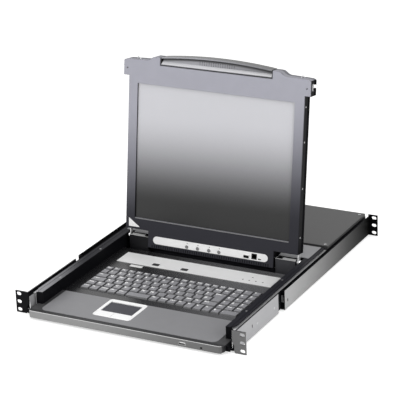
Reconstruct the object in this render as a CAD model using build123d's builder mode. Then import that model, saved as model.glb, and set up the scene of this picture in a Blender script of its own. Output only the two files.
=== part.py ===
from build123d import *
from math import cos, radians, sin
import os

os.makedirs("parts", exist_ok=True)

# Frame: X to the right, Y to the back, Z up. The origin is the middle of the front rack hole pattern,
# on the rear face of the front ears, at half the height of the rack unit.

# Rack interface
ear_span = 480.0
ear_height = 44.0
ear_thickness = 2.0
hole_spacing = 465.1
hole_pitch = 15.875
slot_length = 10.0
slot_height = 6.8

# Fixed chassis
sheet = 1.2
running_gap = 0.3
chassis_half_width = 213.2
chassis_bottom = -20.0
chassis_wall_top = 16.0
ear_plate_length = 178.0
ear_plate_top = 19.0
guide_height = 16.0
guide_depth = 6.3
bracket_top = 18.0
bracket_start = 197.0
cover_length = 185.0
cover_overhang = 2.0
cover_top = 21.0

# Telescopic slides
slide_start = 17.0
slide_length = 396.0
slide_center = -1.0
slide_outer_half_height = 15.5
slide_steel = 1.5
slide_space = 20.5
ball_diameter = 2.4
ball_clearance = 0.05
drawer_travel = 400.0

# Drawer
drawer_bottom = -18.2
rail_top = 18.5
rail_front = 15.0
rail_width = 16.5
rail_groove_width = 10.0
deck_level = -5.6
lip_front = -22.0
lip_top = -4.4
palm_rear = 85.0
palm_front = -9.0
palm_level = -4.8
well_front = 320.0
well_rear = 361.3
hinge_well_half_width = 140.0
hinge_window_start = 329.3
hinge_window_end = 345.0

# Sizes that follow from those above
chassis_inside = chassis_half_width - sheet
ear_plate_outside = chassis_half_width + 2.8 + ear_thickness
ear_inner_edge = chassis_inside
guide_outside = chassis_half_width + guide_depth
guide_start = ear_plate_length + 24.0
bracket_outside = guide_outside + 0.5 + ear_thickness
slide_end = slide_start + slide_length
drawer_rear = slide_end - 1.0
cover_start = slide_end + 5.0
rack_depth = cover_start + cover_length
drawer_inside = chassis_inside - slide_space
rail_outside = drawer_inside + rail_width
rail_groove = drawer_inside + rail_groove_width
lip_half_width = chassis_inside - 9.0
palm_half_width = drawer_inside - 8.0

# Touch pad
pad_left = -84.0
pad_right = -4.0
pad_front = 10.0
pad_rear = 84.5
pad_rim = 6.5
pad_button_depth = 17.0
pad_split = -46.0

# Keyboard
key_pitch = 19.0
key_gap = 0.9
key_height = 4.6
key_top = -3.4
key_taper = 20.0
key_travel = 2.5
key_field_left = -168.0
key_field_right = 168.0
key_field_front = 102.0
typing_front = 107.5
typing_right = 111.8
function_depth = 14.5
keypad_left = 113.4

# Port panel
panel_half_width = 167.5
panel_front = 250.0
panel_rear = 296.5
port_button_width = 13.5
port_button_depth = 8.5

# Screen
screen_tilt = 8.2
axis_height = 12.0
axis_depth = 341.3
screen_thickness = 26.0
screen_front = 16.2
frame_depth = 14.0
shell_wall = 2.4
body_half_width = drawer_inside - 2.6
body_bottom = -15.0
notch_top = 19.0
notch_inside = 138.0
opening_half_width = 169.1
opening_bottom = 42.5
opening_top = 313.7
bar_bottom = 327.5
bar_half_width = body_half_width + 11.9
bar_shoulder = 355.0
bar_top = 361.0
hump_top = 369.0
hump_inside = 120.3
hump_outside = 131.0
hump_foot = 145.0
grip_floor = 353.0
grip_crown = 376.5
grip_end = 369.5
grip_gap = 2.2
grip_depth = 5.5
grip_rim = 2.2
grip_sill = 6.0
strip_height = 2.3
strip_half_length = 126.0
strip_width = 15.5
pin_radius = 3.0
pin_clearance = 0.08
arm_inside = body_half_width - 5.5
arm_steel = 2.0


def facing_front(y):
    """The plane at depth y that faces the front, with X to the right and Z up."""
    return Plane.XZ.offset(-y)


def facing_right(x):
    """The plane at x that faces right, with Y across and Z up."""
    return Plane.YZ.offset(x)


def block(x, y, z, mode=Mode.ADD):
    """A rectangular block between the pairs of limits x, y and z, in the part being built."""
    x, y, z = sorted(x), sorted(y), sorted(z)
    with Locations(((x[0] + x[1]) / 2, (y[0] + y[1]) / 2, (z[0] + z[1]) / 2)):
        Box(x[1] - x[0], y[1] - y[0], z[1] - z[0], mode=mode)


def rect(u, v, mode=Mode.ADD):
    """A rectangle between the pairs of limits u and v, in the sketch being drawn."""
    u, v = sorted(u), sorted(v)
    with Locations(((u[0] + u[1]) / 2, (v[0] + v[1]) / 2)):
        Rectangle(u[1] - u[0], v[1] - v[0], mode=mode)


def polygon(points):
    """A closed outline of straight lines through the points, in the sketch being drawn."""
    Polygon(*points, align=None)


def finish(piece, label):
    """Name a finished piece and write it as its own file."""
    piece.part.label = label
    export_step(piece.part, f"parts/{label}.step")


sides = [(-1, "left"), (1, "right")]
half_ear = ear_span / 2
half_unit = ear_height / 2
hole_x = hole_spacing / 2
hole_heights = (-hole_pitch, 0.0, hole_pitch)
chassis_floor = chassis_bottom + sheet
pan_top = drawer_bottom + sheet
ear_plate_inside = ear_plate_outside - ear_thickness
bracket_inside = bracket_outside - ear_thickness

# Chassis tray: one bent sheet, open at the top and at the front, with lightening holes in its floor.
with BuildPart() as chassis_tray:
    with BuildSketch(facing_front(1.0)):
        rect((-chassis_half_width, chassis_half_width), (chassis_bottom, chassis_wall_top))
        rect((-chassis_inside, chassis_inside), (chassis_floor, chassis_wall_top + sheet), Mode.SUBTRACT)
    extrude(amount=-(rack_depth - 1.0))
    with BuildSketch(Plane.XY.offset(chassis_bottom)):
        with Locations((0, slide_start + slide_length / 2)):
            with GridLocations(130.0, 120.0, 3, 3):
                Rectangle(60.0, 50.0)
        chamfer(vertices(), 6.0)
    extrude(amount=sheet, mode=Mode.SUBTRACT)
finish(chassis_tray, "chassis_tray")

# Front ears: a slotted rack ear bent from a side plate, which three embossed feet hold off the tray's wall.
ear_notch_height = -8.0
for side, name in sides:
    with BuildPart() as front_ear:
        with BuildSketch(facing_front(0.0)):
            polygon([
                (side * half_ear, half_unit),
                (side * ear_inner_edge, half_unit),
                (side * ear_inner_edge, 0.0),
                (side * ear_plate_inside, ear_notch_height),
                (side * ear_plate_inside, 2.0 - half_unit),
                (side * ear_plate_outside, -half_unit),
                (side * half_ear, -half_unit),
            ])
            with Locations(*[(side * hole_x, z) for z in hole_heights]):
                SlotOverall(slot_length, slot_height, mode=Mode.SUBTRACT)
        extrude(amount=ear_thickness)
        with BuildSketch(facing_right(side * ear_plate_outside)):
            rect((-ear_thickness, ear_plate_length), (2.0 - half_unit, ear_plate_top))
            with Locations((68.0, 1.0)):
                Rectangle(2.4, 6.0, mode=Mode.SUBTRACT)
        extrude(amount=-side * ear_thickness)
        with BuildSketch(facing_right(side * ear_plate_inside)):
            with Locations((25.0, -2.0), (ear_plate_length / 2, -2.0), (ear_plate_length - 18.0, -2.0)):
                Rectangle(12.0, 12.0)
        extrude(amount=-side * (ear_plate_inside - chassis_half_width))
    finish(front_ear, f"front_ear_{name}")

# Slide sections. Each member is a C; the balls run between their flanges.
slide_outer_web = chassis_inside - 0.1
outer_flange_inside = slide_outer_half_height - slide_steel
middle_half_height = outer_flange_inside - ball_diameter
middle_flange_inside = middle_half_height - slide_steel
inner_half_height = middle_flange_inside - ball_diameter
inner_web = drawer_inside + sheet + 0.1
middle_web_outside = slide_outer_web - slide_steel - 1.4
flange_reach = 12.5
slide_nose = 1.0
slide_nose_half_height = 13.0
lip_depth = 1.2


def channel(web, reach, half_height, lip):
    """A C section at the slide's height: its web at x = web, flanges over reach and short lips inward."""
    step = 1 if reach > 0 else -1
    rect((web, web + reach), (slide_center - half_height, slide_center + half_height))
    rect((web + step * slide_steel, web + reach),
         (slide_center - half_height + slide_steel, slide_center + half_height - slide_steel), Mode.SUBTRACT)
    if lip:
        for level in (-1, 1):
            rect((web + reach - step * slide_steel, web + reach),
                 (slide_center + level * (half_height - slide_steel - lip),
                  slide_center + level * (half_height - slide_steel / 2)))


for side, name in sides:
    with BuildPart() as slide_outer:
        with BuildSketch(facing_front(slide_start)):
            channel(side * slide_outer_web, -side * (flange_reach + 2.0), slide_outer_half_height, lip_depth)
        extrude(amount=-slide_length)
        with BuildSketch(facing_right(side * slide_outer_web)):
            with Locations(*[(slide_start + share * slide_length, slide_center) for share in (0.1, 0.5, 0.9)]):
                Rectangle(9.0, 5.0)
        extrude(amount=-side * slide_steel, mode=Mode.SUBTRACT)
        block((side * slide_outer_web, side * (slide_outer_web - slide_steel)), (slide_nose, slide_start + 1.0),
              (slide_center - slide_nose_half_height, slide_center + slide_nose_half_height))
    finish(slide_outer, f"slide_outer_{name}")

    with BuildPart() as slide_middle:
        with BuildSketch(facing_front(slide_start + 1.0)):
            channel(side * middle_web_outside, -side * (flange_reach - 1.0), middle_half_height, lip_depth)
        extrude(amount=-(slide_length - 2.0))
        with BuildSketch(facing_right(side * middle_web_outside)):
            with Locations(*[(slide_start + share * slide_length, slide_center) for share in (0.25, 0.75)]):
                Rectangle(26.0, 9.0)
        extrude(amount=-side * slide_steel, mode=Mode.SUBTRACT)
    finish(slide_middle, f"slide_middle_{name}")

    with BuildPart() as slide_inner:
        with BuildSketch(facing_front(slide_start)):
            channel(side * inner_web, side * flange_reach, inner_half_height, 0)
        extrude(amount=-slide_length)
        with BuildSketch(facing_right(side * inner_web)):
            with Locations(*[(slide_start + share * slide_length, slide_center) for share in (0.1, 0.5, 0.9)]):
                Rectangle(5.0, 5.0)
        extrude(amount=side * slide_steel, mode=Mode.SUBTRACT)
    finish(slide_inner, f"slide_inner_{name}")

# Ball cages: thin strips that hold the balls in the two pairs of raceways on each side.
cage_half_length = (slide_length - drawer_travel / 2) / 2 - 1.0
cage_middle = slide_start + slide_length / 2
cage_steel = 0.8
ball_count = 3
cage_half_width = 2.4
cage_end = 8.0
outer_race_x = middle_web_outside - 4.0
inner_race_x = inner_web + flange_reach - 3.6

# One ball, with flats in place of its round.
ball_radius = ball_diameter / 2 - ball_clearance
with BuildPart() as ball:
    with BuildSketch(Plane.XY.offset(-ball_radius)):
        RegularPolygon(ball_radius, 6)
    extrude(amount=2 * ball_radius)
    chamfer(ball.edges().filter_by(Axis.Z, reverse=True), 0.5 * ball_radius)


def ball_cage(x, height, side):
    """A cage strip at x and height on one side, with its balls, seated between two flanges."""
    block((side * (x - cage_half_width), side * (x + cage_half_width)),
          (cage_middle - cage_half_length, cage_middle + cage_half_length),
          (height - cage_steel / 2, height + cage_steel / 2))
    spacing = 2 * (cage_half_length - cage_end) / (ball_count - 1)
    with Locations((side * x, cage_middle, height)):
        with GridLocations(1.0, spacing, 1, ball_count):
            add(ball.part)


for stage, race_x, race_height in [
    ("outer", outer_race_x, outer_flange_inside - ball_diameter / 2),
    ("inner", inner_race_x, middle_flange_inside - ball_diameter / 2),
]:
    with BuildPart() as cages:
        for side, name in sides:
            for level in (-1, 1):
                ball_cage(race_x, slide_center + level * race_height, side)
    finish(cages, f"ball_cages_{stage}")

# Guide channels: C sections on the tray's walls, open outward, in which the rear brackets slide.
guide_steel = 1.2
with BuildPart() as guide_channels:
    for side, name in sides:
        with BuildSketch(facing_front(guide_start)):
            rect((side * chassis_half_width, side * guide_outside), (-guide_height / 2, guide_height / 2))
            rect((side * (chassis_half_width + guide_steel), side * (guide_outside + 1.0)),
                 (guide_steel - guide_height / 2, guide_height / 2 - guide_steel), Mode.SUBTRACT)
        extrude(amount=-(rack_depth - 3.0 - guide_start))
finish(guide_channels, "guide_channels")

# Rear brackets: a long plate with a rack ear at the back, a short front flange and a tongue in the guide.
tongue_start = 230.0
tongue_length = 100.0
tongue_half_height = guide_height / 2 - guide_steel - running_gap
for side, name in sides:
    with BuildPart() as rear_bracket:
        with BuildSketch(facing_right(side * bracket_outside)):
            rect((bracket_start, rack_depth), (chassis_bottom - 0.5, bracket_top))
            with Locations((bracket_start + 13.0, -5.0)):
                Rectangle(3.2, 6.0, mode=Mode.SUBTRACT)
        extrude(amount=-side * ear_thickness)
        with BuildSketch(facing_front(rack_depth - ear_thickness)):
            rect((side * bracket_inside, side * half_ear), (-half_unit, half_unit))
            with Locations(*[(side * hole_x, z) for z in hole_heights]):
                SlotOverall(slot_length, slot_height, mode=Mode.SUBTRACT)
        extrude(amount=-ear_thickness)
        with BuildSketch(facing_front(bracket_start)):
            flange_inside = chassis_half_width + 0.6
            rect((side * flange_inside, side * bracket_outside), (chassis_bottom - 0.5, bracket_top))
            rect((side * (flange_inside - 1.0), side * bracket_inside),
                 (-guide_height / 2 - 1.0, guide_height / 2 + 1.0), Mode.SUBTRACT)
        extrude(amount=-ear_thickness)
        block((side * (chassis_half_width + guide_steel + running_gap), side * bracket_inside),
              (tongue_start, tongue_start + tongue_length),
              (-tongue_half_height, tongue_half_height))
    finish(rear_bracket, f"rear_bracket_{name}")

# Rear cover: a top with two sides and a front wall, which the flat cable from the drawer enters.
cover_half_width = chassis_inside - 0.4
cover_inside = cover_half_width - sheet
cover_end = rack_depth + cover_overhang
cover_foot = chassis_floor + 0.1
with BuildPart() as rear_cover:
    with BuildSketch(facing_front(cover_start)):
        rect((-cover_half_width, cover_half_width), (cover_foot, cover_top))
        rect((-cover_inside, cover_inside), (cover_foot - 1.0, cover_top - sheet), Mode.SUBTRACT)
    extrude(amount=-(cover_end - cover_start))
    with BuildSketch(facing_front(cover_start)):
        rect((-cover_inside, cover_inside), (cover_foot, cover_top - sheet))
        with Locations((60.0, 0.0)):
            Rectangle(110.0, 14.0, mode=Mode.SUBTRACT)
    extrude(amount=-sheet)
    fillet(rear_cover.edges().filter_by(Axis.Y).group_by(Axis.Z)[-1], 0.9)
finish(rear_cover, "rear_cover")

# Rear panel with its inlet, and the sockets that stand on the main board behind it.
panel_start = rack_depth - sheet
inlet_x = -150.0
inlet_width = 27.5
inlet_height = 20.0
socket_xs = (-60.0, -10.0, 40.0)
socket_width = 31.0
socket_height = 12.6
socket_level = -6.0
panel_socket_gap = 0.2
with BuildPart() as rear_panel:
    with BuildSketch(facing_front(panel_start)):
        rect((-cover_inside + 0.2, cover_inside - 0.2), (cover_foot, cover_top - sheet - 0.2))
        with Locations((inlet_x, 0.0)):
            Rectangle(inlet_width, inlet_height, mode=Mode.SUBTRACT)
        with Locations(*[(x, socket_level) for x in socket_xs]):
            Rectangle(socket_width, socket_height, mode=Mode.SUBTRACT)
        with Locations((120.0, 3.0)):
            with GridLocations(9.0, 8.0, 8, 2):
                Rectangle(6.0, 3.0, mode=Mode.SUBTRACT)
    extrude(amount=-sheet)
finish(rear_panel, "rear_panel")

with BuildPart() as power_inlet:
    with BuildSketch(facing_front(cover_end - 0.5)):
        with Locations((inlet_x, 0.0)):
            Rectangle(inlet_width + 4.0, inlet_height + 4.0)
    extrude(amount=cover_end - 0.5 - rack_depth)
    with BuildSketch(facing_front(panel_start)):
        with Locations((inlet_x, 0.0)):
            Rectangle(inlet_width - 0.3, inlet_height - 0.3)
    extrude(amount=-sheet)
    with BuildSketch(facing_front(panel_start)):
        with Locations((inlet_x, 0.0)):
            Rectangle(inlet_width - 1.5, inlet_height - 1.5)
    extrude(amount=18.0)
    with BuildSketch(facing_front(cover_end - 0.5)):
        with Locations((inlet_x, 0.0)):
            Rectangle(inlet_width - 3.5, inlet_height - 3.5)
            chamfer(vertices().group_by(Axis.Y)[-1], 3.5)
    extrude(amount=16.0, mode=Mode.SUBTRACT)
    with BuildSketch(facing_front(cover_end - 17.0)):
        with Locations((inlet_x - 7.0, -2.0), (inlet_x, 2.0), (inlet_x + 7.0, -2.0)):
            Rectangle(2.0, 4.0)
    extrude(amount=-12.0)
finish(power_inlet, "power_inlet")

board_top = chassis_floor + 6.0
board_sheet = 1.6
board_left = -78.0
board_right = 195.0
board_front = cover_start + 27.0
board_rear = panel_start - 1.0
with BuildPart() as main_board:
    with BuildSketch(Plane.XY.offset(board_top - board_sheet)):
        rect((board_left, board_right), (board_front, board_rear))
    extrude(amount=board_sheet)
    with BuildSketch(Plane.XY.offset(board_top)):
        with Locations((60.0, board_front + 75.0)):
            Rectangle(28.0, 28.0)
        with Locations((130.0, board_front + 55.0)):
            with GridLocations(24.0, 30.0, 2, 2):
                Rectangle(14.0, 20.0)
        rect((20.0, 90.0), (board_front + 2.0, board_front + 8.0))
    extrude(amount=2.5)
    with BuildSketch(Plane.XY.offset(chassis_floor)):
        with Locations(((board_left + board_right) / 2, (board_front + board_rear) / 2)):
            with GridLocations(board_right - board_left - 22.0, board_rear - board_front - 25.0, 2, 2):
                RegularPolygon(3.0, 6)
    extrude(amount=board_top - board_sheet - chassis_floor)
finish(main_board, "main_board")

with BuildPart() as rear_sockets:
    for x in socket_xs:
        with BuildSketch(facing_front(rack_depth + 1.0)):
            with Locations((x, socket_level)):
                Rectangle(socket_width - 2 * panel_socket_gap, socket_height - 2 * panel_socket_gap)
        extrude(amount=17.0)
        with BuildSketch(facing_front(rack_depth + 1.0)):
            with Locations((x, socket_level)):
                Trapezoid(18.0, 9.0, 78.0, rotation=180.0)
        extrude(amount=9.0, mode=Mode.SUBTRACT)
        block((x - 14.0, x + 14.0), (rack_depth - 14.0, rack_depth - 3.0),
              (board_top, socket_level - socket_height / 2 + 1.0))
finish(rear_sockets, "rear_sockets")

# Power supply: a closed metal box beside the main board, behind the inlet.
supply_left = 16.0 - chassis_inside
supply_height = 32.0
with BuildPart() as power_supply:
    block((supply_left, board_left - 14.0), (cover_start + 22.0, panel_start - 24.0),
          (chassis_floor, chassis_floor + supply_height))
finish(power_supply, "power_supply")

# Drawer tray: floor and side walls, with flanges at the top that hide the slides.
rail_bottom = rail_top - sheet
wall_outside = drawer_inside + sheet
floor_front = lip_front + 2.4
flange_front = lip_front + 14.0
with BuildPart() as drawer_tray:
    with BuildSketch(facing_front(rail_front)):
        rect((-wall_outside, wall_outside), (drawer_bottom, rail_top))
        rect((-drawer_inside, drawer_inside), (pan_top, rail_top + 1.0), Mode.SUBTRACT)
        for side, name in sides:
            rect((side * drawer_inside, side * rail_outside), (rail_bottom, rail_top))
            with Locations((side * rail_groove, rail_top)):
                Rectangle(0.9, 1.2, mode=Mode.SUBTRACT)
    extrude(amount=-(drawer_rear - rail_front))
    block((-wall_outside, wall_outside), (drawer_rear - sheet, drawer_rear), (drawer_bottom, 6.0))
    for side, name in sides:
        block((side * drawer_inside, side * (rail_outside - 3.0)), (rail_front, rail_front + sheet),
              (drawer_bottom, rail_top))
        with BuildSketch(Plane.XY.offset(rail_bottom)):
            polygon([
                (side * rail_groove, rail_front),
                (side * (rail_outside + 0.1), rail_front),
                (side * (rail_outside + 0.1), rail_front + 12.0),
            ])
        extrude(amount=sheet, mode=Mode.SUBTRACT)
    block((-wall_outside, wall_outside), (floor_front, rail_front), (drawer_bottom, pan_top))
    for side, name in sides:
        block((side * (lip_half_width + 0.3), side * (chassis_inside - 1.0)),
              (flange_front, flange_front + sheet), (drawer_bottom, deck_level - 3.0))
        block((side * drawer_inside, side * (lip_half_width + 2.0)),
              (flange_front, rail_front + sheet), (drawer_bottom, pan_top))
finish(drawer_tray, "drawer_tray")

# Rear deck plate: closes the drawer behind the screen, with tabs that reach forward beside the hinges.
deck_sheet = 1.0
plate_half_width = rail_groove - 1.0
tab_outside = 180.0
arm_notch_end = 352.0
with BuildPart() as rear_deck_plate:
    with BuildSketch(Plane.XY.offset(rail_top)):
        polygon([
            (-plate_half_width, drawer_rear - 1.0),
            (-plate_half_width, arm_notch_end),
            (-tab_outside, arm_notch_end),
            (-tab_outside, hinge_window_end),
            (-hinge_well_half_width, hinge_window_end),
            (-hinge_well_half_width, well_rear),
            (hinge_well_half_width, well_rear),
            (hinge_well_half_width, hinge_window_end),
            (tab_outside, hinge_window_end),
            (tab_outside, arm_notch_end),
            (plate_half_width, arm_notch_end),
            (plate_half_width, drawer_rear - 1.0),
        ])
    extrude(amount=deck_sheet)
    block((-hinge_well_half_width + 0.2, hinge_well_half_width - 0.2), (well_rear, well_rear + sheet),
          (pan_top, rail_top + deck_sheet))
finish(rear_deck_plate, "rear_deck_plate")

# Hinge housings: a front wall with a narrow top edge, an inner wall, and the friction block round the pin.
hinge_block_inside = 152.0
hinge_block_outside = 180.0
housing_outside = 182.0
housing_top = rail_top
with BuildPart() as hinge_housings:
    for side, name in sides:
        block((side * hinge_well_half_width, side * housing_outside),
              (hinge_window_start, hinge_window_start + sheet), (pan_top, housing_top))
        block((side * hinge_well_half_width, side * housing_outside),
              (hinge_window_start, hinge_window_start + 2.6), (housing_top - sheet, housing_top))
        block((side * hinge_well_half_width, side * (hinge_well_half_width + sheet)),
              (hinge_window_start, well_rear), (pan_top, housing_top - 0.2))
        block((side * hinge_well_half_width, side * housing_outside),
              (hinge_window_start, well_rear), (pan_top, pan_top + sheet))
        with BuildSketch(facing_right(side * hinge_block_inside)):
            with Locations((axis_depth, axis_height)):
                Circle(5.6)
            polygon([
                (axis_depth - 5.6, axis_height),
                (axis_depth + 5.6, axis_height),
                (axis_depth + 9.0, pan_top + sheet / 2),
                (axis_depth - 9.0, pan_top + sheet / 2),
            ])
            with Locations((axis_depth, axis_height)):
                Circle(pin_radius + 0.05, mode=Mode.SUBTRACT)
        extrude(amount=side * (hinge_block_outside - hinge_block_inside))
finish(hinge_housings, "hinge_housings")

# Hinge pins: a headed steel pin on each side, held in the friction block.
nut_radius = 5.0
nut_width = 3.0
with BuildPart() as hinge_pins:
    for side, name in sides:
        nut_x = arm_inside + arm_steel + 0.4
        with BuildSketch(facing_right(side * (hinge_block_inside - 2.0))):
            with Locations((axis_depth, axis_height)):
                Circle(pin_radius)
        extrude(amount=side * (nut_x + nut_width - hinge_block_inside + 2.0))
        with BuildSketch(facing_right(side * nut_x)):
            with Locations((axis_depth, axis_height)):
                RegularPolygon(nut_radius, 6)
        extrude(amount=side * nut_width)
        with BuildSketch(facing_right(side * (hinge_block_inside - 2.0))):
            with Locations((axis_depth, axis_height)):
                RegularPolygon(nut_radius, 8)
        extrude(amount=side * 1.8)
finish(hinge_pins, "hinge_pins")

# Front lip: the moulding below the closed screen, with the palm rest's seat and the front face with its ports.
lip_shell = 2.2
lip_corner = 9.0
lip_side = drawer_inside - 0.3
lip_rear = rail_front - 0.5
usb_x = 122.0
usb_level = -12.6
usb_width = 13.4
usb_height = 6.0
reset_x = 160.5
reset_level = -14.0
reset_size = 4.0
seat_level = palm_level - 1.2
pad_pocket_level = deck_level - 2.4
with BuildPart() as front_lip:
    with BuildSketch(Plane.XY.offset(drawer_bottom)):
        rect((-lip_half_width, lip_half_width), (lip_front, lip_rear))
        fillet(vertices().group_by(Axis.Y)[0], lip_corner)
    extrude(amount=lip_top - drawer_bottom)
    fillet(front_lip.edges().group_by(Axis.Z)[-1].sort_by(Axis.Y)[0], 0.8)
    with BuildSketch(Plane.XY.offset(drawer_bottom)):
        rect((lip_shell - lip_half_width, lip_half_width - lip_shell), (lip_front + lip_shell, lip_rear + 1.0))
        chamfer(vertices().group_by(Axis.Y)[0], lip_corner - lip_shell)
    extrude(amount=seat_level - lip_shell - drawer_bottom, mode=Mode.SUBTRACT)
    with BuildSketch(facing_right(-lip_half_width)):
        polygon([
            (lip_front + 2.6, lip_top + 1.0),
            (lip_front + 2.6, lip_top),
            (lip_front + 3.4, lip_top - 1.0),
            (palm_front - 1.0, palm_level - 0.7),
            (lip_rear + 1.0, palm_level - 0.2),
            (lip_rear + 1.0, lip_top + 1.0),
        ])
    extrude(amount=2 * lip_half_width, mode=Mode.SUBTRACT)
    block((-lip_half_width, lip_half_width), (lip_front + lip_shell, lip_rear + 1.0),
          (drawer_bottom - 1.0, pan_top), Mode.SUBTRACT)
    block((-lip_side, lip_side), (lip_rear - 1.0, palm_rear), (seat_level - lip_shell, palm_level - 0.2))
    for side, name in sides:
        block((side * (lip_side - lip_shell), side * lip_side),
              (rail_front + 2.0, palm_rear), (pan_top, seat_level - lip_shell / 2))
    with BuildSketch(Plane.XY.offset(seat_level)):
        rect((-palm_half_width - 0.2, palm_half_width + 0.2), (palm_front - 0.2, palm_rear + 1.0))
        fillet(vertices().group_by(Axis.Y)[0], 12.0)
    extrude(amount=3.0, mode=Mode.SUBTRACT)
    with BuildSketch(Plane.XY.offset(pad_pocket_level)):
        rect((pad_left + 2.0, pad_right - 2.0), (pad_front + 2.0, pad_rear - 2.0))
    extrude(amount=6.0, mode=Mode.SUBTRACT)
    with BuildSketch(facing_front(lip_front)):
        with Locations((usb_x, usb_level)):
            Rectangle(usb_width, usb_height)
        with Locations((reset_x, reset_level)):
            Rectangle(reset_size, reset_size)
    extrude(amount=-lip_shell, mode=Mode.SUBTRACT)
finish(front_lip, "front_lip")

# Palm rest: a thin plate in the moulding's seat, with an opening for the touch pad.
with BuildPart() as palm_rest:
    with BuildSketch(Plane.XY.offset(seat_level)):
        rect((-palm_half_width, palm_half_width), (palm_front, palm_rear - 0.2))
        fillet(vertices().group_by(Axis.Y)[0], 11.8)
        with Locations(((pad_left + pad_right) / 2, (pad_front + pad_rear) / 2)):
            RectangleRounded(pad_right - pad_left + 0.4, pad_rear - pad_front + 0.4, 7.2, mode=Mode.SUBTRACT)
    extrude(amount=palm_level - seat_level)
finish(palm_rest, "palm_rest")

# Touch pad: a white surround, the sunk pad and two front buttons in one line with the surround.
pad_mid_x = (pad_left + pad_right) / 2
pad_button_rear = pad_front + 2.5 + pad_button_depth
pad_window_front = pad_button_rear + 2.0
surround_top = palm_level + 0.35
with BuildPart() as touchpad_surround:
    with BuildSketch(Plane.XY.offset(seat_level)):
        with Locations((pad_mid_x, (pad_front + pad_rear) / 2)):
            RectangleRounded(pad_right - pad_left, pad_rear - pad_front, 7.0)
        rect((pad_left + pad_rim, pad_right - pad_rim), (pad_window_front, pad_rear - pad_rim - 4.0),
             Mode.SUBTRACT)
        rect((pad_left + 2.5, pad_right - 2.5), (pad_front + 2.5, pad_button_rear), Mode.SUBTRACT)
    extrude(amount=surround_top - seat_level)
    chamfer(touchpad_surround.faces().sort_by(Axis.Z)[-1].outer_wire().edges(), 0.5)
finish(touchpad_surround, "touchpad_surround")

with BuildPart() as touchpad:
    block((pad_left + 2.2, pad_right - 2.2), (pad_window_front - 1.4, pad_rear - 2.2),
          (pad_pocket_level + 0.05, seat_level - 0.05))
finish(touchpad, "touchpad")

pad_button_travel = 0.8
for side, name in sides:
    near = pad_split + side * 0.4
    far = (pad_left if side < 0 else pad_right) - side * 2.8
    with BuildPart() as touchpad_button:
        block((near, far), (pad_front + 2.8, pad_button_rear - 0.3),
              (pad_pocket_level + pad_button_travel + 0.2, surround_top + 0.1))
        chamfer(touchpad_button.faces().sort_by(Axis.Z)[-1].edges(), 0.3)
    finish(touchpad_button, f"touchpad_button_{name}")

# Deck frame: the moulding round the keys, with the port panel's seat and the ledge behind it.
deck_half_width = drawer_inside - 0.3
deck_shell = 2.2
key_clearance = 0.6
key_field_rear = typing_front + 5 * key_pitch + function_depth
panel_seat = deck_level - 0.6
ledge_groove = 308.0
ledge_groove_half_length = 180.0
with BuildPart() as deck_frame:
    with BuildSketch(facing_right(-deck_half_width)):
        polygon([
            (palm_rear + 0.3, deck_level),
            (palm_rear + 0.3, deck_level - deck_shell),
            (well_front - deck_shell, deck_level - deck_shell),
            (well_front - deck_shell, pan_top),
            (well_front, pan_top),
            (well_front, deck_level - 2.0),
            (panel_rear + 1.5, deck_level - 0.8),
            (panel_rear + 1.5, deck_level),
        ])
    extrude(amount=2 * deck_half_width)
    with BuildSketch(Plane.XY.offset(deck_level)):
        rect((key_field_left - key_clearance, key_field_right + key_clearance),
             (typing_front - key_clearance, key_field_rear + key_clearance))
        rect((56.5 - key_clearance, key_field_right + key_clearance),
             (key_field_front - key_clearance, key_field_rear + key_clearance))
    extrude(amount=-deck_shell, mode=Mode.SUBTRACT)
    block((-panel_half_width - 0.3, panel_half_width + 0.3), (panel_front - 5.0, panel_rear + 0.3),
          (panel_seat, deck_level + 1.0), Mode.SUBTRACT)
    with BuildSketch(Plane.XY.offset(deck_level)):
        rect((-ledge_groove_half_length, ledge_groove_half_length), (ledge_groove, ledge_groove + 1.6))
    extrude(amount=-2.2, mode=Mode.SUBTRACT)
    for side, name in sides:
        block((side * (deck_half_width - deck_shell), side * deck_half_width),
              (palm_rear + 0.3, well_front), (pan_top, deck_level - deck_shell / 2))
finish(deck_frame, "deck_frame")

# Keys. Each row is a list of limits between neighbouring keys, with its front and its depth.
stem_size = 4.0
stem_gap = 0.3
key_bottom = key_top - key_height
base_top = key_bottom - key_travel - 0.3
base_thickness = 2.0
stem_length = key_bottom - base_top + 1.0
number_front, tab_front, caps_front, shift_front = [typing_front + key_pitch * n for n in (4, 3, 2, 1)]
function_front = typing_front + 5 * key_pitch
function_width = (typing_right - key_field_left) / 17
enter_left_upper = 86.0
enter_left_lower = 91.0
enter_middle = ((enter_left_lower + typing_right) / 2, caps_front + key_pitch / 2)
space_left = -69.5
space_right = -20.0
arrows_left = 56.5
arrows_depth = key_pitch + typing_front - key_field_front - 0.4
plus_split = 131.8
last_split = 150.8


def stepped(last, count):
    """The limits of a row whose keys count back from last at the key pitch, the first key taking the rest."""
    return [key_field_left] + [last - key_pitch * step for step in range(count - 1, -1, -1)]


key_rows = {
    "function_keys": [
        ([key_field_left + function_width * n for n in range(18)], function_front, function_depth),
    ],
    "typing_keys": [
        (stepped(95.0, 14) + [typing_right], number_front, key_pitch),
        (stepped(enter_left_upper, 13), tab_front, key_pitch),
        (stepped(enter_left_lower, 13), caps_front, key_pitch),
        (stepped(80.8, 13) + [typing_right], shift_front, key_pitch),
        ([key_field_left, -149.0, -129.0, -109.5, -90.5, space_left], typing_front, key_pitch),
        ([space_right, -0.5, 18.5, 37.0, arrows_left - 0.5], typing_front, key_pitch),
    ],
    "space_bar": [
        ([space_left, space_right], typing_front, key_pitch),
    ],
    "arrow_keys": [
        ([arrows_left, 75.5, 94.0, keypad_left - 0.8], key_field_front, arrows_depth),
    ],
    "keypad_keys": [
        ([keypad_left, plus_split, key_field_right], key_field_front, key_pitch),
    ] + [
        ([keypad_left, plus_split, last_split, key_field_right], key_field_front + row * key_pitch, key_pitch)
        for row in range(1, 6)
    ],
}


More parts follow.
